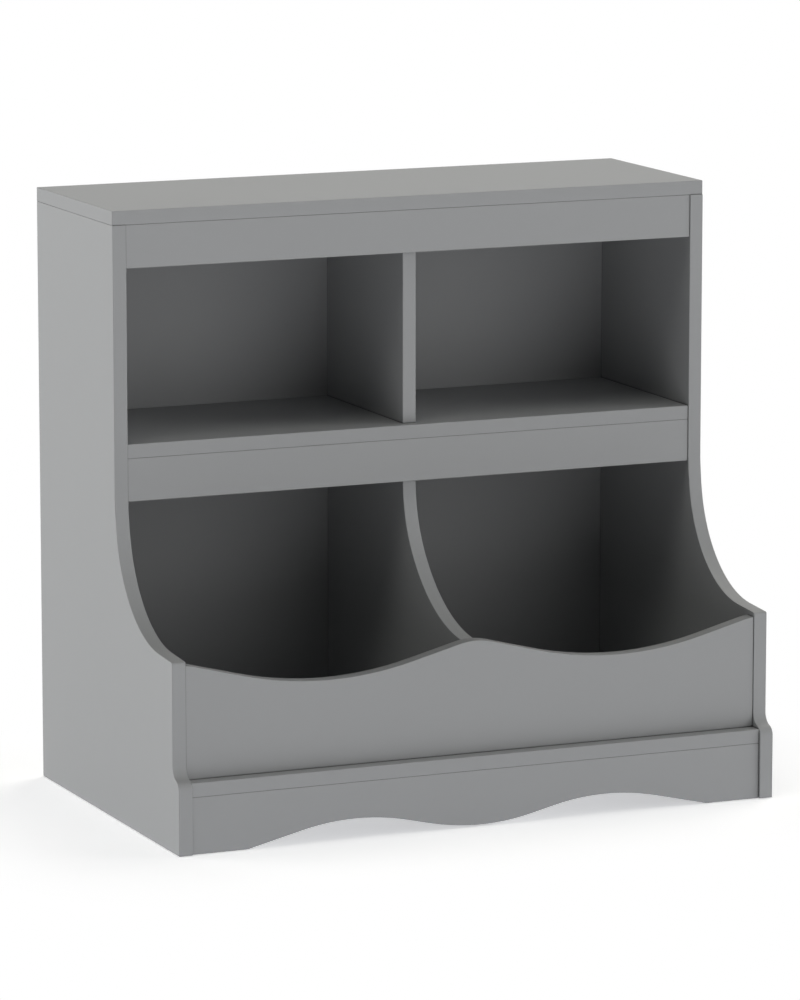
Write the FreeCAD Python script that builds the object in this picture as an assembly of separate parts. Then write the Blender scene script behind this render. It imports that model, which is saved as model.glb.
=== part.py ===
import FreeCAD
import Part
import math
import os

# Toy storage organizer: a painted panel cabinet, two open cubbies above two scooped bins on a wavy base.
# Millimetres, X to the right, Y to the rear, Z up. The origin is on the floor under the cabinet's middle.

# Overall sizes
WIDTH = 680.0
HEIGHT = 644.0
UPPER_DEPTH = 229.0  # front edges of the sides at the cubbies, to their rear edges
BIN_REACH = 161.5  # bin front ahead of the cubby front
BASE_REACH = 17.5  # plinth ahead of the bin front

# Boards
PANEL = 15.0
EDGE_EASE = 0.6  # rounding of every board edge
SHARP_TURN = 20.0  # degrees between two faces, above which their edge is rounded
RAIL = 12.0  # thickness of the top and middle rails
RAIL_HEIGHT = 45.5
FRONT_SETBACK = 1.0  # top panel, rails and middle shelf behind the front edges of the sides
MIDDLE_SHELF_TOP = 399.0
BASE_HEIGHT = 60.0  # floor to the underside of the bottom shelf
BASE_SETBACK = 3.0  # skirt and bottom shelf behind the plinth edges of the sides
BIN_FRONT_SETBACK = 1.0

# Back panel, held in a groove
BACK_SHEET = 3.0
BACK_INSET = 5.5  # rear face of the back panel ahead of the rear edges of the sides
GROOVE_DEPTH = 5.0
GROOVE_CLEARANCE = 0.15

# Swept front edges of the sides: an easing arc, a main arc and a straight ledge that falls a little forwards
SIDE_ABOVE_CREST = 4.0  # front end of the ledge above the crests of the bin front
SIDE_LEDGE = 38.5
SIDE_LEDGE_FALL = 4.0  # degrees
SIDE_EASE = 2.2
SIDE_EASE_HEIGHT = 22.0
SIDE_CORNER_ROUND = 2.5

# Scooped front edge of the lower divider: a tight arc under the rail, then a wider one to the bin front
DIVIDER_BELOW_CREST = 3.0  # front end of the scoop below the crest of the bin front
DIVIDER_OVERRUN = 9.0  # the scoop levels out this far past the rear face of the bin front
DIVIDER_TIGHTEN = 20.0  # drop of the scoop less the radius of its tight arc

# Ogee between the bin front and the plinth, on the front edges of the sides
OGEE_ABOVE_FLOOR = 16.0  # top of the ogee above the bin floor
OGEE_HEIGHT = 23.4
OGEE_HOLLOW_SHARE = 0.58  # hollow arc's part of the whole ogee

# Wavy top edge of the bin front: crests at the middle of each upright board, a dip in each bin
BIN_CREST = 195.0
BIN_DIP = 28.0
BIN_FLANK = 54.0  # straight stretch between a crest and a dip
BIN_CREST_RADIUS = 72.0

# Wavy bottom edge of the skirt: a foot at each end, two arches and a lobe between them
FOOT_WIDTH = 62.0
ARCH_RUN = 120.0  # foot to the top of its arch
ARCH_HEIGHT = 21.2
FOOT_FLANK = 62.0  # straight stretch next to a foot
LOBE_CLEARANCE = 1.5  # lobe above the floor
LOBE_FLANK = 27.5
LOBE_SHARE = 0.5  # lobe's part of the two radii

# Joinery
FIT = 0.1  # radial clearance of a piece in its bore
BORE_WEB = 4.0  # board left behind a blind bore
CAM_INSET = 32.0  # outermost fastener from the end of its row
CAM_REACH = 34.0  # cam centre from the joint
CAM_RADIUS = 7.5
CAM_BELOW_BOLT = 4.0
CAM_SUNK = 0.3
CAM_SLOT = 1.6
CAM_SLOT_LENGTH = 9.0
CAM_SLOT_DEPTH = 1.8
BOLT_THREAD_RADIUS = 3.0
BOLT_SHANK_RADIUS = 2.4
BOLT_HEAD_RADIUS = 3.3
BOLT_HEAD_LENGTH = 5.0
BOLT_ROOM = 0.7  # radial clearance of a bolt head in the edge that it enters
CAP_RADIUS = 8.8
CAP_THICKNESS = 1.2
CAP_ROUND = 0.8
DOWEL_RADIUS = 3.0
DOWEL_LENGTH = 30.0
DOWEL_CHAMFER = 1.0
SCREW_RADIUS = 2.5
SCREW_LENGTH = 50.0
SCREW_HEAD_RADIUS = 4.8
SCREW_HEAD_HEIGHT = 4.0
SCREW_HEX_RADIUS = 2.3
SCREW_HEX_DEPTH = 2.6
NAIL_RADIUS = 0.9
NAIL_LENGTH = 20.0
NAIL_HEAD_RADIUS = 2.6
NAIL_HEAD_THICKNESS = 0.8
NAIL_INSET = 60.0  # outermost nail of a shelf from the end of the shelf
ROW_INSET = 50.0  # outermost bin front fastener from the end of the board
BASE_ROW_INSET = 80.0  # outermost upright dowel of the skirt and rails from the end of the board

X = FreeCAD.Vector(1, 0, 0)
Y = FreeCAD.Vector(0, 1, 0)
Z = FreeCAD.Vector(0, 0, 1)

# Planes of the cabinet
half_width = WIDTH / 2
inner_half = half_width - PANEL
rear = (UPPER_DEPTH + BIN_REACH + BASE_REACH) / 2
upper_front = rear - UPPER_DEPTH
bin_plane = upper_front - BIN_REACH
base_plane = bin_plane - BASE_REACH
back_face = rear - BACK_INSET - BACK_SHEET
top_under = HEIGHT - PANEL
shelf_under = MIDDLE_SHELF_TOP - PANEL
rail_front = upper_front + FRONT_SETBACK
rail_back = rail_front + RAIL
base_front = base_plane + BASE_SETBACK
bin_floor = BASE_HEIGHT + PANEL
bin_front_face = bin_plane + BIN_FRONT_SETBACK
bin_front_back = bin_front_face + PANEL
side_sweep_end = BIN_CREST + SIDE_ABOVE_CREST
divider_sweep_end = BIN_CREST - DIVIDER_BELOW_CREST
ogee_top = bin_floor + OGEE_ABOVE_FLOOR
blind_depth = PANEL - BORE_WEB
bolt_bore_radius = BOLT_HEAD_RADIUS + BOLT_ROOM

SIDES = {"left_side_panel": -1, "right_side_panel": 1}

bores = {}
fasteners = {}


def point(x, y, z):
    return FreeCAD.Vector(x, y, z)


def same_place(a, b):
    return a.distanceToPoint(b) < FreeCAD.Base.Precision.confusion()


def spread(first, last, count):
    """Evenly spaced places, both ends included."""
    return [first + (last - first) * i / (count - 1) for i in range(count)]


class Outline:
    """A closed outline drawn stretch by stretch in its own flat plane."""

    def __init__(self, u, v):
        self.start = point(u, v, 0)
        self.pen = self.start
        self.edges = []

    def line(self, u, v):
        end = point(u, v, 0)
        if not same_place(self.pen, end):
            self.edges.append(Part.makeLine(self.pen, end))
            self.pen = end

    def arc(self, centre, radius, first, last):
        """A circular stretch between two angles in degrees, reached by a straight line if need be."""
        spots = []
        for degrees in (first, (first + last) / 2, last):
            turn = math.radians(degrees)
            spots.append((centre[0] + radius * math.cos(turn), centre[1] + radius * math.sin(turn)))
        self.line(*spots[0])
        middle, end = [point(u, v, 0) for u, v in spots[1:]]
        self.edges.append(Part.Arc(self.pen, middle, end).toShape())
        self.pen = end

    def solid(self, thickness):
        self.line(self.start.x, self.start.y)
        return Part.Face(Part.Wire(self.edges)).extrude(Z * thickness)


def upright_along_y(outline, x):
    """A board whose outline is given in Y and Z, from x towards +X."""
    solid = outline.solid(PANEL)
    solid.rotate(point(0, 0, 0), X + Y + Z, 120)
    solid.translate(X * x)
    return solid


def upright_along_x(outline, y):
    """A board whose outline is given in X and Z, from y towards +Y."""
    solid = outline.solid(PANEL)
    solid.rotate(point(0, 0, 0), X, 90)
    solid.translate(Y * (y + PANEL))
    return solid


def slab(x0, x1, y0, y1, z0, z1):
    return Part.makeBox(x1 - x0, y1 - y0, z1 - z0, point(x0, y0, z0))


def eased(solid):
    """The board with its sharp edges rounded over."""
    sharp = []
    for edge in solid.Edges:
        middle = edge.valueAt((edge.FirstParameter + edge.LastParameter) / 2)
        normals = []
        for face in solid.ancestorsOfType(edge, Part.Face):
            normals.append(face.normalAt(*face.Surface.parameter(middle)))
        if math.degrees(normals[0].getAngle(normals[1])) > SHARP_TURN:
            sharp.append(edge)
    return solid.makeFillet(EDGE_EASE, sharp)


def wave(run, drop, straight):
    """Angle in degrees and summed radii of two arcs and a straight flank that fall by drop over run."""
    angle = 2 * math.atan(drop / (run + straight))
    radii = (run - straight * math.cos(angle)) / math.sin(angle)
    return math.degrees(angle), radii


def draw_sweep(outline):
    """From the front of the cubbies down and forward to the top of the bin plane."""
    slope = math.radians(SIDE_LEDGE_FALL)
    radius = (BIN_REACH - SIDE_LEDGE * math.cos(slope) - SIDE_EASE) / (1 - math.sin(slope))
    ease_radius = radius + SIDE_EASE / 2 + SIDE_EASE_HEIGHT**2 / (2 * SIDE_EASE)
    height = side_sweep_end + SIDE_LEDGE * math.sin(slope) + radius * math.cos(slope)
    meeting = -math.degrees(math.asin(SIDE_EASE_HEIGHT / (ease_radius - radius)))
    outline.arc((upper_front - ease_radius, height + SIDE_EASE_HEIGHT), ease_radius, 0, meeting)
    outline.arc((upper_front - radius - SIDE_EASE, height), radius, meeting, SIDE_LEDGE_FALL - 90)
    outline.line(bin_plane, side_sweep_end)


def draw_scoop(outline, top_y, top_z, end_y, low_z):
    """From the vertical at top_y, top_z down and forward to end_y, almost level there."""
    drop = top_z - low_z
    reach = top_y - end_y + DIVIDER_OVERRUN
    tight = drop - DIVIDER_TIGHTEN
    wide = ((reach - tight) ** 2 + drop**2 - tight**2) / (2 * DIVIDER_TIGHTEN)
    meeting = -math.degrees(math.atan2(wide - drop, reach - tight))
    outline.arc((top_y - tight, top_z), tight, 0, meeting)
    last = -math.degrees(math.acos(DIVIDER_OVERRUN / wide))
    outline.arc((top_y - reach, low_z + wide), wide, meeting, last)


def draw_ogee(outline):
    """From the bin plane down and forward to the plinth, a hollow arc and then a round shoulder."""
    turn = 2 * math.degrees(math.atan(BASE_REACH / OGEE_HEIGHT))
    radii = OGEE_HEIGHT / math.sin(math.radians(turn))
    hollow = radii * OGEE_HOLLOW_SHARE
    shoulder = radii - hollow
    outline.arc((bin_plane - hollow, ogee_top), hollow, 0, -turn)
    outline.arc((base_plane + shoulder, ogee_top - OGEE_HEIGHT), shoulder, 180 - turn, 180)


def side_panel(x):
    outline = Outline(base_plane, 0)
    outline.line(rear, 0)
    outline.line(rear, top_under)
    outline.line(upper_front, top_under)
    draw_sweep(outline)
    draw_ogee(outline)
    solid = upright_along_y(outline, x)
    corner = point(x + PANEL / 2, bin_plane, side_sweep_end)
    tip = [edge for edge in solid.Edges if same_place(edge.CenterOfMass, corner)]
    board = eased(solid.makeFillet(SIDE_CORNER_ROUND, tip))
    return board.cut(back_groove())


def back_groove():
    """Room for the back panel in the sides and in the top panel."""
    reach = inner_half + GROOVE_DEPTH
    return slab(
        -reach, reach, back_face - GROOVE_CLEARANCE, back_face + BACK_SHEET + GROOVE_CLEARANCE,
        BASE_HEIGHT - GROOVE_CLEARANCE, top_under + GROOVE_DEPTH,
    )


def back_panel():
    reach = inner_half + GROOVE_DEPTH - GROOVE_CLEARANCE
    high = top_under + GROOVE_DEPTH - GROOVE_CLEARANCE
    return slab(-reach, reach, back_face, back_face + BACK_SHEET, BASE_HEIGHT, high)


def top_panel():
    board = eased(slab(-half_width, half_width, rail_front, rear, top_under, HEIGHT))
    return board.cut(back_groove())


def cross_board(y0, y1, z0, z1):
    """A plain board that runs from side to side."""
    return eased(slab(-inner_half, inner_half, y0, y1, z0, z1))


def upper_divider():
    return eased(slab(-PANEL / 2, PANEL / 2, rail_back, back_face, MIDDLE_SHELF_TOP, top_under))


def lower_divider():
    outline = Outline(bin_front_back, bin_floor)
    outline.line(back_face, bin_floor)
    outline.line(back_face, shelf_under)
    outline.line(rail_back, shelf_under)
    draw_scoop(outline, rail_back, shelf_under - RAIL_HEIGHT, bin_front_back, divider_sweep_end)
    return eased(upright_along_y(outline, -PANEL / 2))


def bin_front():
    run = (half_width - PANEL / 2) / 2
    angle, radii = wave(run, BIN_DIP, BIN_FLANK)
    dip_radius = radii - BIN_CREST_RADIUS
    crest_centre = BIN_CREST - BIN_CREST_RADIUS
    dip_centre = BIN_CREST - BIN_DIP + dip_radius
    cut_off = math.degrees(math.asin((2 * run - inner_half) / BIN_CREST_RADIUS))
    outline = Outline(-inner_half, bin_floor)
    outline.line(inner_half, bin_floor)
    outline.arc((2 * run, crest_centre), BIN_CREST_RADIUS, 90 + cut_off, 90 + angle)
    outline.arc((run, dip_centre), dip_radius, angle - 90, -90 - angle)
    outline.arc((0, crest_centre), BIN_CREST_RADIUS, 90 - angle, 90 + angle)
    outline.arc((-run, dip_centre), dip_radius, angle - 90, -90 - angle)
    outline.arc((-2 * run, crest_centre), BIN_CREST_RADIUS, 90 - angle, 90 - cut_off)
    return eased(upright_along_x(outline, bin_front_face))


def base_skirt():
    foot = inner_half - FOOT_WIDTH
    peak = foot - ARCH_RUN
    outer, outer_radius = wave(ARCH_RUN, ARCH_HEIGHT, FOOT_FLANK)
    inner, radii = wave(peak, ARCH_HEIGHT - LOBE_CLEARANCE, LOBE_FLANK)
    lobe_radius = radii * LOBE_SHARE
    inner_radius = radii - lobe_radius
    outline = Outline(-inner_half, BASE_HEIGHT)
    outline.line(-inner_half, 0)
    outline.line(-foot, 0)
    outline.arc((-peak, ARCH_HEIGHT - outer_radius), outer_radius, 90 + outer, 90)
    outline.arc((-peak, ARCH_HEIGHT - inner_radius), inner_radius, 90, 90 - inner)
    outline.arc((0, LOBE_CLEARANCE + lobe_radius), lobe_radius, -90 - inner, inner - 90)
    outline.arc((peak, ARCH_HEIGHT - inner_radius), inner_radius, 90 + inner, 90)
    outline.arc((peak, ARCH_HEIGHT - outer_radius), outer_radius, 90, 90 - outer)
    outline.line(foot, 0)
    outline.line(inner_half, 0)
    outline.line(inner_half, BASE_HEIGHT)
    return eased(upright_along_x(outline, base_front))


def rod(spot, axis, start, end, radius):
    """A cylinder along an axis, between two distances from a spot."""
    return Part.makeCylinder(radius, end - start, spot + axis * start, axis)


def drill(board, tool):
    """Bores are noted here and cut when all are known. Each tool starts outside its board."""
    bores.setdefault(board, []).append(tool)


def add(group, piece):
    fasteners.setdefault(group, []).append(piece)


def cam_lock(group, board, centre, bolt_axis, open_face, capped, thickness):
    """A cam let into the open face of a board, round the head of a bolt whose axis passes its centre."""
    face = centre + open_face * (thickness / 2)
    depth = thickness / 2 + CAM_BELOW_BOLT
    drill(board, rod(face, open_face, -depth - FIT, PANEL, CAM_RADIUS + FIT))
    pocket = rod(centre, bolt_axis, -2 * CAM_RADIUS, BOLT_HEAD_LENGTH / 2 + FIT, BOLT_HEAD_RADIUS + FIT)
    slots = []
    for across in (bolt_axis, bolt_axis.cross(open_face)):
        slot = rod(face, across, -CAM_SLOT_LENGTH / 2, CAM_SLOT_LENGTH / 2, CAM_SLOT / 2)
        slots.append(slot.fuse(slot.translated(open_face * -(CAM_SLOT_DEPTH / 2))))
    lock = rod(face, open_face, -depth, -CAM_SUNK, CAM_RADIUS)
    add(group + "_cam_locks", lock.cut([pocket] + slots))
    if capped:
        cap = rod(face, open_face, 0, CAP_THICKNESS, CAP_RADIUS)
        rim = [edge for edge in cap.Edges if edge.Closed and not same_place(edge.CenterOfMass, face)]
        add(group + "_cam_caps", cap.makeFillet(CAP_ROUND, rim))


def cam_joint(group, edge_board, face_board, spot, inward, open_face, capped=False, thickness=PANEL):
    """A bolt screwed into one board's face and held by a cam in the board whose edge meets it at spot."""
    drill(face_board, rod(spot, inward, -blind_depth - FIT, PANEL, BOLT_THREAD_RADIUS + FIT))
    drill(edge_board, rod(spot, inward, -PANEL, CAM_REACH, bolt_bore_radius))
    head_start = CAM_REACH - BOLT_HEAD_LENGTH / 2
    bolt = rod(spot, inward, -blind_depth, 0, BOLT_THREAD_RADIUS)
    bolt = bolt.fuse(rod(spot, inward, 0, head_start, BOLT_SHANK_RADIUS))
    bolt = bolt.fuse(rod(spot, inward, head_start, CAM_REACH + BOLT_HEAD_LENGTH / 2, BOLT_HEAD_RADIUS))
    add(group + "_cam_bolts", bolt)
    cam_lock(group, edge_board, spot + inward * CAM_REACH, inward, open_face, capped, thickness)


def dowel_joint(group, edge_board, face_board, spot, inward):
    """A glued dowel across a butt joint."""
    far = DOWEL_LENGTH - blind_depth
    drill(face_board, rod(spot, inward, -blind_depth - FIT, PANEL, DOWEL_RADIUS + FIT))
    drill(edge_board, rod(spot, inward, -PANEL, far + FIT, DOWEL_RADIUS + FIT))
    dowel = rod(spot, inward, -blind_depth, far, DOWEL_RADIUS)
    ends = [e for e in dowel.Edges if e.Closed]
    add(group + "_dowels", dowel.makeChamfer(DOWEL_CHAMFER, ends))


def screw_joint(group, edge_board, face_board, spot, inward):
    """A countersunk screw through a board into the edge of the next, its head flush with the outer face."""
    outer = spot - inward * PANEL
    for board in (edge_board, face_board):
        drill(board, rod(outer, inward, -PANEL, SCREW_LENGTH + FIT, SCREW_RADIUS + FIT))
    sink = Part.makeCone(SCREW_HEAD_RADIUS + FIT, SCREW_RADIUS + FIT, SCREW_HEAD_HEIGHT, outer, inward)
    drill(face_board, sink)
    head = Part.makeCone(SCREW_HEAD_RADIUS, SCREW_RADIUS, SCREW_HEAD_HEIGHT, outer, inward)
    corners = []
    for degrees in range(0, 361, 60):
        turn = math.radians(degrees)
        corners.append(outer + (X * math.cos(turn) + Y * math.sin(turn)) * SCREW_HEX_RADIUS)
    socket = Part.Face(Part.makePolygon(corners)).extrude(inward * SCREW_HEX_DEPTH)
    screw = head.fuse(rod(outer, inward, 0, SCREW_LENGTH, SCREW_RADIUS))
    add(group + "_screws", screw.cut(socket))


def nail(board, spot):
    """A flat-headed nail through the back panel into the rear edge of a board."""
    for holed in ("back_panel", board):
        drill(holed, rod(spot, -Y, -PANEL, NAIL_LENGTH + FIT, NAIL_RADIUS + FIT))
    head = rod(spot, Y, 0, NAIL_HEAD_THICKNESS, NAIL_HEAD_RADIUS)
    add("back_panel_nails", head.fuse(rod(spot, -Y, 0, NAIL_LENGTH, NAIL_RADIUS)))


def join_ends(board, cam_spots, dowel_spots, open_face, capped=False, thickness=PANEL):
    """Fix both ends of a cross board to the sides."""
    for side, hand in SIDES.items():
        for y, z in cam_spots:
            spot = point(hand * inner_half, y, z)
            cam_joint(board, board, side, spot, X * -hand, open_face, capped, thickness)
        for y, z in dowel_spots:
            dowel_joint(board, board, side, point(hand * inner_half, y, z), X * -hand)


def join_top():
    rows = spread(rail_back + CAM_INSET, back_face - CAM_INSET, 4)
    for side, hand in SIDES.items():
        x = hand * (half_width - PANEL / 2)
        for y in (rows[0], rows[3]):
            cam_joint("top_panel", side, "top_panel", point(x, y, top_under), -Z, X * -hand, True)
        for y in rows[1:3]:
            dowel_joint("top_panel", side, "top_panel", point(x, y, top_under), -Z)


def join_middle_shelf():
    z = MIDDLE_SHELF_TOP - PANEL / 2
    rows = spread(rail_back + CAM_INSET, back_face - CAM_INSET, 4)
    join_ends("middle_shelf", [(rows[0], z), (rows[3], z)], [(rows[1], z), (rows[2], z)], -Z)


def join_bottom_shelf():
    z = bin_floor - PANEL / 2
    rows = spread(base_front + PANEL + CAM_INSET, back_face - CAM_INSET, 5)
    join_ends("bottom_shelf", [(y, z) for y in rows[::2]], [(y, z) for y in rows[1::2]], -Z)


def join_rail(rail, shelf, top):
    """Ends of a rail to the sides, and its top edge to the board above."""
    middle = rail_front + RAIL / 2
    low, high = top - RAIL_HEIGHT * 3 / 4, top - RAIL_HEIGHT / 4
    join_ends(rail, [(middle, low)], [(middle, high)], Y, thickness=RAIL)
    join_upward(rail, shelf, middle, top)


def join_upward(board, above, y, top):
    """Dowels from the top edge of a board into the one above."""
    reach = inner_half - BASE_ROW_INSET
    for x in spread(-reach, reach, 4):
        dowel_joint(board, board, above, point(x, y, top), -Z)


def join_base(board, y, open_face):
    """Skirt or rear base rail to the sides and to the bottom shelf."""
    middle = y + PANEL / 2
    low, high = BASE_HEIGHT / 3, BASE_HEIGHT * 2 / 3
    join_ends(board, [(middle, high)], [(middle, low)], open_face)
    join_upward(board, "bottom_shelf", middle, BASE_HEIGHT)


def join_bin_front():
    middle = bin_front_face + PANEL / 2
    low, high = spread(bin_floor, BIN_CREST, 4)[1:3]
    join_ends("bin_front", [(middle, high)], [(middle, low)], Y, True)
    reach = inner_half - ROW_INSET
    row = [point(x, middle, bin_floor) for x in spread(-reach, reach, 6)]
    for i, spot in enumerate(row):
        joint = screw_joint if i in (1, 4) else dowel_joint
        joint("bin_front", "bin_front", "bottom_shelf", spot, Z)


def join_dividers():
    rows = spread(rail_back + CAM_INSET, back_face - CAM_INSET, 6)
    for y in (rows[0], rows[5]):
        cam_joint("upper_divider", "upper_divider", "top_panel", point(0, y, top_under), -Z, X, True)
        through_bolt(y)
    for y in (rows[1], rows[4]):
        dowel_joint("upper_divider", "upper_divider", "top_panel", point(0, y, top_under), -Z)
        dowel_joint("upper_divider", "upper_divider", "middle_shelf", point(0, y, MIDDLE_SHELF_TOP), Z)
    for y in rows[2:4]:
        dowel_joint("lower_divider", "lower_divider", "middle_shelf", point(0, y, shelf_under), -Z)
    feet = spread(bin_front_back + CAM_INSET, back_face - CAM_INSET, 5)
    for i, y in enumerate(feet):
        joint = dowel_joint if i % 2 else screw_joint
        joint("lower_divider", "lower_divider", "bottom_shelf", point(0, y, bin_floor), Z)
    for z in spread(bin_floor, divider_sweep_end, 4)[1:3]:
        dowel_joint("lower_divider", "lower_divider", "bin_front", point(0, bin_front_back, z), Y)


def through_bolt(y):
    """A bolt through the middle shelf with a head in a cam of each divider."""
    spot = point(0, y, MIDDLE_SHELF_TOP - PANEL / 2)
    reach = PANEL / 2 + CAM_REACH
    drill("middle_shelf", rod(spot, Z, -PANEL, PANEL, BOLT_THREAD_RADIUS + FIT))
    bolt = rod(spot, Z, -reach, reach, BOLT_SHANK_RADIUS)
    bolt = bolt.fuse(rod(spot, Z, -PANEL / 2, PANEL / 2, BOLT_THREAD_RADIUS))
    for divider, up in (("upper_divider", Z), ("lower_divider", -Z)):
        drill(divider, rod(spot, up, 0, reach, bolt_bore_radius))
        half_head = BOLT_HEAD_LENGTH / 2
        bolt = bolt.fuse(rod(spot, up, reach - half_head, reach + half_head, BOLT_HEAD_RADIUS))
        cam_lock(divider, divider, spot + up * reach, up, X, True, PANEL)
    add("divider_through_bolts", bolt)


def nail_back_panel():
    y = back_face + BACK_SHEET
    reach = inner_half - NAIL_INSET
    for board, top in (("middle_shelf", MIDDLE_SHELF_TOP), ("bottom_shelf", bin_floor)):
        for x in spread(-reach, reach, 6):
            nail(board, point(x, y, top - PANEL / 2))
    for board, low, high in (
        ("upper_divider", MIDDLE_SHELF_TOP, top_under), ("lower_divider", bin_floor, shelf_under),
    ):
        for z in spread(low, high, 5)[1:4]:
            nail(board, point(0, y, z))


boards = {
    "top_panel": top_panel(),
    "left_side_panel": side_panel(-half_width),
    "right_side_panel": side_panel(inner_half),
    "top_rail": cross_board(rail_front, rail_back, top_under - RAIL_HEIGHT, top_under),
    "upper_divider": upper_divider(),
    "middle_shelf": cross_board(rail_front, back_face, shelf_under, MIDDLE_SHELF_TOP),
    "middle_rail": cross_board(rail_front, rail_back, shelf_under - RAIL_HEIGHT, shelf_under),
    "lower_divider": lower_divider(),
    "bottom_shelf": cross_board(base_front, back_face, BASE_HEIGHT, bin_floor),
    "bin_front": bin_front(),
    "base_skirt": base_skirt(),
    "rear_base_rail": cross_board(back_face - PANEL, back_face, 0, BASE_HEIGHT),
    "back_panel": back_panel(),
}

join_top()
join_middle_shelf()
join_bottom_shelf()
join_rail("top_rail", "top_panel", top_under)
join_rail("middle_rail", "middle_shelf", shelf_under)
join_base("base_skirt", base_front, Y)
join_base("rear_base_rail", back_face - PANEL, -Y)
join_bin_front()
join_dividers()
nail_back_panel()

os.makedirs("parts", exist_ok=True)
for name, board in boards.items():
    board.cut(bores[name]).exportStep("parts/" + name + ".step")
for name, pieces in fasteners.items():
    Part.makeCompound(pieces).exportStep("parts/" + name + ".step")
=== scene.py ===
import math

import bpy
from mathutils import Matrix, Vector


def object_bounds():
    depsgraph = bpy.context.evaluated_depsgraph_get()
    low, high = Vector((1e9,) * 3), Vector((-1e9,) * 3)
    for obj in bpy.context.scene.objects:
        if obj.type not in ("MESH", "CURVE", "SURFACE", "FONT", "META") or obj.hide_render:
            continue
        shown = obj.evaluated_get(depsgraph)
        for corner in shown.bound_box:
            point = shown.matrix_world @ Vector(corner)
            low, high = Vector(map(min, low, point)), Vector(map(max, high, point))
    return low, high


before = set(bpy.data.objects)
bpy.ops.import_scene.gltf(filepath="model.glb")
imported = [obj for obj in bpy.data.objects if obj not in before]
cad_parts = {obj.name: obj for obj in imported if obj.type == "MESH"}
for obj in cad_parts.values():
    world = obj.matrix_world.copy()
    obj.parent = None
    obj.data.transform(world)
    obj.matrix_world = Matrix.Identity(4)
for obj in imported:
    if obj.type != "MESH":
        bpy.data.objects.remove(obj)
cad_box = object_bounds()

# The camera, as the photograph's: angles in degrees, lengths in metres, the lens in millimetres.
CAMERA_AZIMUTH = -23.47
CAMERA_ELEVATION = 10.02
CAMERA_DISTANCE = 6.044
CAMERA_TARGET = Vector((-0.0055, 0.0, 0.3142))
CAMERA_LENS = 203.6
CAMERA_REACH = 100.0

# Wide lamps far away: azimuth and elevation in degrees, the share of its colour that a surface
# facing the lamp shows, and the lamp's own colour.
LAMPS = {
    "right_lamp": (68, 8, 0.60, (1.0, 1.0, 0.985)),
    "front_lamp": (20, 8, 0.16, (1.0, 1.0, 1.0)),
    "left_lamp": (-125, 8, 0.625, (1.0, 1.0, 0.98)),
    "left_high_lamp": (-70, 62, 0.245, (1.0, 1.0, 0.95)),
    "rear_high_lamp": (120, 40, 0.345, (1.0, 0.97, 0.90)),
}
LAMP_WIDTH = 40.0
LAMP_DISTANCE = 3.0
LIGHT_TARGET = Vector((0.0, 0.0, 0.32))
WHITE = (1.0, 1.0, 1.0, 1.0)
BLACK = (0.0, 0.0, 0.0, 1.0)

# The floor: its half side, how far it lies below the cabinet, its colour, its glow where it is seen,
# and how far from the cabinet it is white. A wide light lies on it, just under the cabinet.
FLOOR_REACH = 8.0
FLOOR_DROP = 0.0006
FLOOR_COLOR = (0.92, 0.925, 0.95, 1.0)
FLOOR_GLOW = (0.44, 0.44, 0.44, 1.0)
FLOOR_WHITE_FROM = 0.22
FLOOR_LIGHT_DROP = 0.0003
FLOOR_LIGHT = 0.475
FLOOR_LIGHT_COLOR = (0.93, 0.94, 1.0)

# The boards' paint. Colours are linear, and the sizes and depths of a pattern are in metres.
PAINT = (0.292, 0.297, 0.301, 1.0)
PAINT_ON_CUT_EDGE = (0.290, 0.295, 0.299, 1.0)
# Painted shade: the cut edges of the boards that face the front, the wavy ones among them, are darker than
# the paint.
PAINTED_SHADE_ON_WAVY_EDGE = (0.226, 0.230, 0.233, 1.0)
PAINT_ROUGHNESS = 0.55
CUT_EDGE_ROUGHNESS = 0.60
PAINT_SHEEN = 0.4
PEEL_SIZE = 0.0016
PEEL_DEPTH = 0.00002
MOTTLE_SIZE = 0.16
MOTTLE_TONE = 0.04
MOTTLE_ROUGHNESS = 0.06
FIBRE_LENGTH = 0.012
FIBRE_WIDTH = 0.0005
FIBRE_DEPTH = 0.00004

# A surface is a cut edge where it faces less than this along the board's thickness, and a board's
# face where it faces more than this.
CUT_EDGE_FACING = 0.1
BOARD_FACE_FACING = 0.9

# Painted shade in seams and creases, darkening the paint's colour: how near the other surface is, how open
# the air is where a surface counts as buried, over the darkest places and over the lightest, and how much
# darker the painted shade makes the darkest.
CREVICE_REACH = 0.003
CREVICE_SAMPLES = 8
CREVICE_BURIED = 0.2
CREVICE_SHUT = 0.3
CREVICE_OPEN = 0.9
CREVICE_PAINTED_SHADE = 0.85

# The back sheet is painted inside. Its rear is sealed hardboard with the print of the press screen.
SHEET_PAINT = (0.307, 0.312, 0.316, 1.0)
SHEET_REAR = (0.205, 0.203, 0.198, 1.0)
SHEET_FLECK = (0.150, 0.140, 0.128, 1.0)
SHEET_PAINT_ROUGHNESS = 0.58
SHEET_REAR_ROUGHNESS = 0.81
SHEET_FRONT_FACING = 0.2
SHEET_REAR_FACING = 0.8
SHEET_TONE = 0.06
SCREEN_PITCH = 0.0018
SCREEN_DEPTH = 0.00006
FLECK_SIZE = 0.004
FLECK_FROM = 0.5
FLECK_FULL = 0.72
FLECK_SHARE = 0.6

# Cast zinc and plated steel, with duller patches.
ZINC = (0.55, 0.56, 0.58, 1.0)
ZINC_DULL = (0.38, 0.39, 0.41, 1.0)
PLATE = (0.66, 0.67, 0.69, 1.0)
PLATE_DULL = (0.47, 0.48, 0.50, 1.0)
ZINC_ROUGHNESS = 0.42
BOLT_ROUGHNESS = 0.28
SCREW_ROUGHNESS = 0.30
NAIL_ROUGHNESS = 0.36
METAL_ROUGHNESS_SPREAD = 0.16
METAL_GRAIN = 0.0005
ZINC_GRAIN_DEPTH = 0.00004
PLATE_GRAIN_DEPTH = 0.00001
PATCH_SIZE = 0.006
PATCH_FROM = 0.35
PATCH_FULL = 0.75

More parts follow.
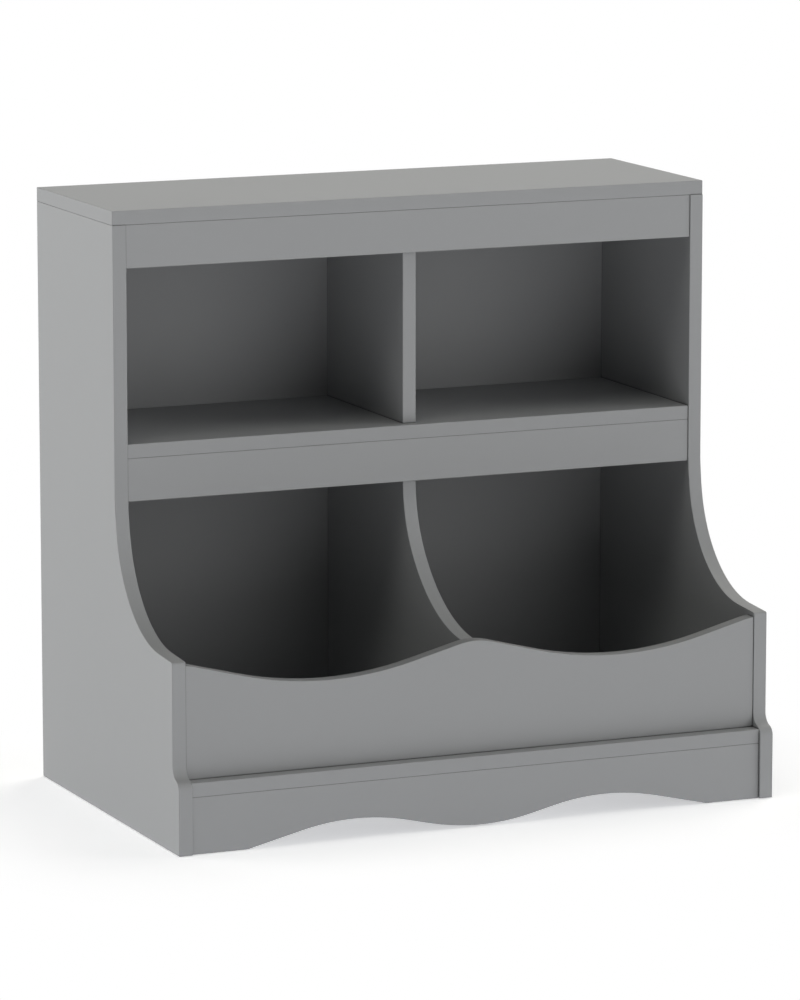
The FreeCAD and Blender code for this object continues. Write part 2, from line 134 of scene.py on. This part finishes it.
# The caps' plastic.
CAP_PLASTIC = (0.262, 0.266, 0.274)
CAP_TONE = 0.06
CAP_TONE_SIZE = 0.01
CAP_GRAIN = 0.0003
CAP_GRAIN_DEPTH = 0.00003
CAP_ROUGHNESS = 0.55
CAP_ROUGHNESS_SPREAD = 0.1

# The dowels' beech.
BEECH = (0.62, 0.43, 0.26, 1.0)
BEECH_FLECK = (0.44, 0.27, 0.15, 1.0)
BEECH_FLECK_SIZE = 0.0012
BEECH_FLECK_FROM = 0.52
BEECH_FLECK_FULL = 0.68
BEECH_FLECK_DEPTH = 0.00005
BEECH_TONE = 0.24
BEECH_TONE_SIZE = 0.02
BEECH_ROUGHNESS = 0.64
BEECH_ROUGHNESS_SPREAD = 0.12

# A wave texture of scale 1 has bands this far apart.
WAVE_PITCH = math.tau / 20

# Painted boards, and the axis that runs through the thickness of each.
BOARD_AXES = {
    "left_side_panel": "X", "right_side_panel": "X", "upper_divider": "X", "lower_divider": "X",
    "top_rail": "Y", "middle_rail": "Y", "bin_front": "Y", "base_skirt": "Y", "rear_base_rail": "Y",
    "top_panel": "Z", "middle_shelf": "Z", "bottom_shelf": "Z",
}


class Wire:
    """An output socket that takes part in arithmetic: each operator adds a Math node."""

    def __init__(self, graph, socket):
        self.graph = graph
        self.socket = socket

    def output(self, name):
        """Another output of the same node."""
        return Wire(self.graph, self.socket.node.outputs[name])

    def math(self, operation, *values):
        return self.graph.node("ShaderNodeMath", {"operation": operation}, dict(enumerate(values)))

    def __add__(self, other):
        return self.math("ADD", self, other)

    def __radd__(self, other):
        return self.math("ADD", other, self)

    def __sub__(self, other):
        return self.math("SUBTRACT", self, other)

    def __rsub__(self, other):
        return self.math("SUBTRACT", other, self)

    def __mul__(self, other):
        return self.math("MULTIPLY", self, other)

    def __rmul__(self, other):
        return self.math("MULTIPLY", other, self)

    def __abs__(self):
        return self.math("ABSOLUTE", self)


class Graph:
    """The node tree of a material or of the world."""

    def __init__(self, owner):
        self.owner = owner
        owner.use_nodes = True
        self.tree = owner.node_tree
        self.tree.nodes.clear()

    def node(self, kind, settings=None, sockets=None, output=0):
        """Add a node: its settings first, then its sockets by name or number, as values or wires."""
        made = self.tree.nodes.new(kind)
        for name, value in (settings or {}).items():
            setattr(made, name, value)
        for key, value in (sockets or {}).items():
            if isinstance(value, Wire):
                self.tree.links.new(value.socket, made.inputs[key])
            else:
                made.inputs[key].default_value = value
        return Wire(self, made.outputs[output]) if made.outputs else made

    def place(self):
        return self.node("ShaderNodeTexCoord", output="Object")

    def along(self, vector, axis):
        """One of a vector's three parts."""
        return self.node("ShaderNodeSeparateXYZ", None, {0: vector}, output=axis)

    def facing(self, axis):
        """How far the surface faces along an axis, from -1 to 1."""
        return self.along(self.node("ShaderNodeNewGeometry", output="Normal"), axis)

    def vector(self, operation, *vectors, output=0):
        return self.node("ShaderNodeVectorMath", {"operation": operation}, dict(enumerate(vectors)), output)

    def stretched(self, place, sizes):
        """Coordinates in which a pattern's cell has the given size along each axis."""
        return self.vector("DIVIDE", place, sizes)

    def noise(self, place, size, detail=2.0):
        return self.node("ShaderNodeTexNoise", None, {"Vector": place, "Scale": 1 / size, "Detail": detail})

    def ribs(self, place, axis, pitch):
        """Rounded ridges across an axis."""
        settings = {"wave_type": "BANDS", "bands_direction": axis, "wave_profile": "SIN"}
        sockets = {"Vector": place, "Scale": WAVE_PITCH / pitch}
        return self.node("ShaderNodeTexWave", settings, sockets, output="Fac")

    def ramp(self, value, start, end, low=0.0, high=1.0):
        """A smooth step of a value from low to high."""
        settings = {"interpolation_type": "SMOOTHSTEP"}
        return self.node("ShaderNodeMapRange", settings, {0: value, 1: start, 2: end, 3: low, 4: high})

    def mix(self, factor, first, second):
        """A colour between two colours."""
        return self.node("ShaderNodeMix", {"data_type": "RGBA"}, {0: factor, 6: first, 7: second}, output=2)

    def shade(self, color, amount):
        """A colour made lighter or darker by a factor round 1."""
        return self.node("ShaderNodeVectorMath", {"operation": "SCALE"}, {0: color, "Scale": amount})

    def painted_crevice_shade(self, place):
        """Painted shade: 1 in a seam or crease, and 0 on an open or buried surface and where the boards
        stand.
        """
        settings = {"samples": CREVICE_SAMPLES}
        air = self.node("ShaderNodeAmbientOcclusion", settings, {"Distance": CREVICE_REACH}, output="AO")
        height = self.along(place, "Z")
        dark = self.ramp(air, CREVICE_SHUT, CREVICE_OPEN, 1.0, 0.0) * self.ramp(air, 0.0, CREVICE_BURIED)
        return dark * self.ramp(height, 0.0, CREVICE_REACH)

    def bump(self, height, depth, normal=None):
        sockets = {"Height": height, "Distance": depth, "Strength": 1.0}
        if normal:
            sockets["Normal"] = normal
        return self.node("ShaderNodeBump", None, sockets)

    def skin(self, sockets):
        """A principled surface, wired to the output."""
        self.surface(self.node("ShaderNodeBsdfPrincipled", None, sockets))
        return self.owner

    def surface(self, shader, kind="ShaderNodeOutputMaterial"):
        self.node(kind, None, {"Surface": shader})


def finish(name):
    return Graph(bpy.data.materials.new(name))


def spread(middle, width, noise):
    """A value that a noise from 0 to 1 moves about its middle."""
    return middle - width / 2 + width * noise


def painted_board(axis):
    """Satin paint sprayed on fibreboard, for boards whose thickness runs along an axis, with painted shade
    in its seams and creases and on the cut edges of the boards that face the front.
    """
    graph = finish("satin_grey_paint_" + axis.lower())
    place = graph.place()
    cut_edge = graph.ramp(abs(graph.facing(axis)), CUT_EDGE_FACING, BOARD_FACE_FACING, 1.0, 0.0)
    mottle = graph.noise(place, MOTTLE_SIZE, detail=4.0)
    peel = graph.noise(place, PEEL_SIZE)
    fibre_sizes = [FIBRE_WIDTH if name == axis else FIBRE_LENGTH for name in "XYZ"]
    fibres = graph.noise(graph.stretched(place, fibre_sizes), 1.0)
    # The front-facing boards' cut edges take the darker painted shade; the others take the cut edge's
    # paint.
    edge_paint_and_painted_shade = PAINTED_SHADE_ON_WAVY_EDGE if axis == "Y" else PAINT_ON_CUT_EDGE
    color = graph.mix(cut_edge, PAINT, edge_paint_and_painted_shade)
    # The paint's colour is darkened in seams and creases: painted shade.
    painted_shade = 1.0 - CREVICE_PAINTED_SHADE * graph.painted_crevice_shade(place)
    color = graph.shade(color, spread(1.0, MOTTLE_TONE, mottle) * painted_shade)
    roughness = spread(PAINT_ROUGHNESS, MOTTLE_ROUGHNESS, mottle)
    roughness = roughness + (CUT_EDGE_ROUGHNESS - PAINT_ROUGHNESS) * cut_edge
    relief = graph.bump(peel, PEEL_DEPTH)
    relief = graph.bump(fibres * cut_edge, FIBRE_DEPTH, relief)
    sockets = {"Base Color": color, "Roughness": roughness, "Normal": relief}
    return graph.skin(sockets | {"Specular IOR Level": PAINT_SHEEN})


def back_sheet():
    """Thin hardboard: painted inside, sealed and screen printed at the rear."""
    graph = finish("painted_hardboard")
    place = graph.place()
    rear = graph.ramp(graph.facing("Y"), SHEET_FRONT_FACING, SHEET_REAR_FACING)
    mottle = graph.noise(place, MOTTLE_SIZE, detail=4.0)
    flecks = graph.ramp(graph.noise(place, FLECK_SIZE, detail=6.0), FLECK_FROM, FLECK_FULL)
    sealed = graph.mix(FLECK_SHARE * flecks, SHEET_REAR, SHEET_FLECK)
    color = graph.shade(graph.mix(rear, SHEET_PAINT, sealed), spread(1.0, SHEET_TONE, mottle))
    roughness = spread(SHEET_PAINT_ROUGHNESS, MOTTLE_ROUGHNESS, mottle)
    roughness = roughness + (SHEET_REAR_ROUGHNESS - SHEET_PAINT_ROUGHNESS) * rear
    screen = graph.ribs(place, "X", SCREEN_PITCH) * graph.ribs(place, "Z", SCREEN_PITCH)
    relief = graph.bump(graph.noise(place, PEEL_SIZE), PEEL_DEPTH)
    relief = graph.bump(screen * rear, SCREEN_DEPTH, relief)
    sockets = {"Base Color": color, "Roughness": roughness, "Normal": relief}
    return graph.skin(sockets | {"Specular IOR Level": PAINT_SHEEN})


def metal(name, bright, dull, roughness, grain_depth):
    """Plated or cast metal with a fine grain and duller patches."""
    graph = finish(name)
    place = graph.place()
    patches = graph.noise(place, PATCH_SIZE, detail=4.0)
    color = graph.mix(graph.ramp(patches, PATCH_FROM, PATCH_FULL), bright, dull)
    relief = graph.bump(graph.noise(place, METAL_GRAIN), grain_depth)
    varied = spread(roughness, METAL_ROUGHNESS_SPREAD, patches)
    return graph.skin({"Base Color": color, "Roughness": varied, "Normal": relief, "Metallic": 1.0})


def cap_plastic():
    """Matt moulded plastic with a fine spark grain."""
    graph = finish("matt_cap_plastic")
    place = graph.place()
    grain = graph.noise(place, CAP_GRAIN, detail=3.0)
    color = graph.shade(CAP_PLASTIC, spread(1.0, CAP_TONE, graph.noise(place, CAP_TONE_SIZE)))
    roughness = spread(CAP_ROUGHNESS, CAP_ROUGHNESS_SPREAD, grain)
    relief = graph.bump(grain, CAP_GRAIN_DEPTH)
    return graph.skin({"Base Color": color, "Roughness": roughness, "Normal": relief})


def beech():
    """Turned beech with its short dark flecks."""
    graph = finish("beech")
    place = graph.place()
    figure = graph.noise(place, BEECH_FLECK_SIZE, detail=3.0)
    flecks = graph.ramp(figure, BEECH_FLECK_FROM, BEECH_FLECK_FULL)
    tone = graph.noise(place, BEECH_TONE_SIZE, detail=3.0)
    color = graph.shade(graph.mix(flecks, BEECH, BEECH_FLECK), spread(1.0, BEECH_TONE, tone))
    roughness = spread(BEECH_ROUGHNESS, BEECH_ROUGHNESS_SPREAD, tone)
    relief = graph.bump(flecks, BEECH_FLECK_DEPTH)
    return graph.skin({"Base Color": color, "Roughness": roughness, "Normal": relief})


def dress_nodes():
    """Give every node its finish: boards by the way they lie, the rest by their slot."""
    paints = {axis: painted_board(axis) for axis in "XYZ"}
    finishes = {
        "grey_back_sheet": back_sheet(),
        "zinc_cam": metal("cast_zinc", ZINC, ZINC_DULL, ZINC_ROUGHNESS, ZINC_GRAIN_DEPTH),
        "plated_bolt": metal("plated_bolt_steel", PLATE, PLATE_DULL, BOLT_ROUGHNESS, PLATE_GRAIN_DEPTH),
        "plated_screw": metal("plated_screw_steel", PLATE, PLATE_DULL, SCREW_ROUGHNESS, PLATE_GRAIN_DEPTH),
        "plated_nail": metal("plated_nail_steel", PLATE, ZINC_DULL, NAIL_ROUGHNESS, PLATE_GRAIN_DEPTH),
        "beech_dowel": beech(),
        "grey_cap": cap_plastic(),
    }
    for name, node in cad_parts.items():
        slot = node.material_slots[0]
        slot.material = paints[BOARD_AXES[name]] if name in BOARD_AXES else finishes[slot.material.name]


def seen_rays(graph):
    """1 for the rays that show the background: to the camera, in gloss and through glass."""
    rays = graph.node("ShaderNodeLightPath", output="Is Camera Ray")
    both = rays.math("MAXIMUM", rays, rays.output("Is Glossy Ray"))
    return both.math("MAXIMUM", both, rays.output("Is Transmission Ray"))


def light_world():
    """White where it is seen, and no light of its own."""
    world = bpy.data.worlds.new("studio")
    world.cycles.sampling_method = "NONE"
    bpy.context.scene.world = world
    graph = Graph(world)
    color = graph.mix(seen_rays(graph), BLACK, WHITE)
    graph.surface(graph.node("ShaderNodeBackground", None, {"Color": color}), "ShaderNodeOutputWorld")


def direction(azimuth, elevation):
    """From the object towards a place round it. Azimuth 0 is in front and 90 on the right."""
    turn, rise = math.radians(azimuth), math.radians(elevation)
    return Vector((math.sin(turn) * math.cos(rise), -math.cos(turn) * math.cos(rise), math.sin(rise)))


def aimed(name, data, azimuth, elevation, distance, target):
    """An object at a place round a target, looking at it."""
    made = bpy.data.objects.new(name, data)
    towards = direction(azimuth, elevation)
    made.location = target + towards * distance
    made.rotation_euler = (-towards).to_track_quat("-Z", "Y").to_euler()
    bpy.context.scene.collection.objects.link(made)
    return made


def light_studio():
    """The wide lamps, and the light that comes up from the floor."""
    for name, (azimuth, elevation, share, color) in LAMPS.items():
        data = bpy.data.lights.new(name, "SUN")
        data.angle = math.radians(LAMP_WIDTH)
        data.energy = math.pi * share
        data.color = color
        aimed(name, data, azimuth, elevation, LAMP_DISTANCE, LIGHT_TARGET)
    data = bpy.data.lights.new("floor_light", "AREA")
    data.size = 2 * FLOOR_REACH
    data.energy = math.pi * data.size**2 * FLOOR_LIGHT
    data.color = FLOOR_LIGHT_COLOR
    sweep = aimed("floor_light", data, 0, -90, FLOOR_LIGHT_DROP, Vector())
    sweep.visible_camera = False
    sweep.visible_glossy = False


def lay_floor():
    """A pale floor that turns white further away, and is see-through from below."""
    bpy.ops.object.select_all(action="DESELECT")
    bpy.ops.mesh.primitive_plane_add(size=2 * FLOOR_REACH, location=(0.0, 0.0, -FLOOR_DROP))
    floor = bpy.context.object
    floor.name = "floor"
    graph = finish("pale_floor")
    seen = seen_rays(graph)
    diffuse = graph.node("ShaderNodeBsdfDiffuse", None, {"Color": FLOOR_COLOR})
    glow = graph.node("ShaderNodeEmission", None, {"Color": graph.mix(seen, BLACK, FLOOR_GLOW)})
    near = graph.node("ShaderNodeAddShader", None, {0: diffuse, 1: glow})
    white = graph.node("ShaderNodeEmission", None, {"Color": WHITE})
    footprint = (cad_box[1][0], cad_box[1][1], 0.0)
    beside = graph.vector("SUBTRACT", graph.vector("ABSOLUTE", graph.place()), footprint)
    reach = graph.vector("LENGTH", graph.vector("MAXIMUM", beside, (0.0, 0.0, 0.0)), output="Value")
    far = graph.ramp(reach, 0.0, FLOOR_WHITE_FROM) * seen
    top = graph.node("ShaderNodeMixShader", None, {0: far, 1: near, 2: white})
    below = graph.node("ShaderNodeNewGeometry", output="Backfacing")
    clear = graph.node("ShaderNodeBsdfTransparent")
    graph.surface(graph.node("ShaderNodeMixShader", None, {0: below, 1: top, 2: clear}))
    graph.owner.cycles.emission_sampling = "NONE"
    floor.data.materials.append(graph.owner)


def place_camera():
    data = bpy.data.cameras.new("camera")
    data.lens = CAMERA_LENS
    data.clip_end = CAMERA_REACH
    camera = aimed("camera", data, CAMERA_AZIMUTH, CAMERA_ELEVATION, CAMERA_DISTANCE, CAMERA_TARGET)
    bpy.context.scene.camera = camera


bpy.context.scene.view_settings.view_transform = "Standard"
dress_nodes()
light_world()
light_studio()
lay_floor()
place_camera()
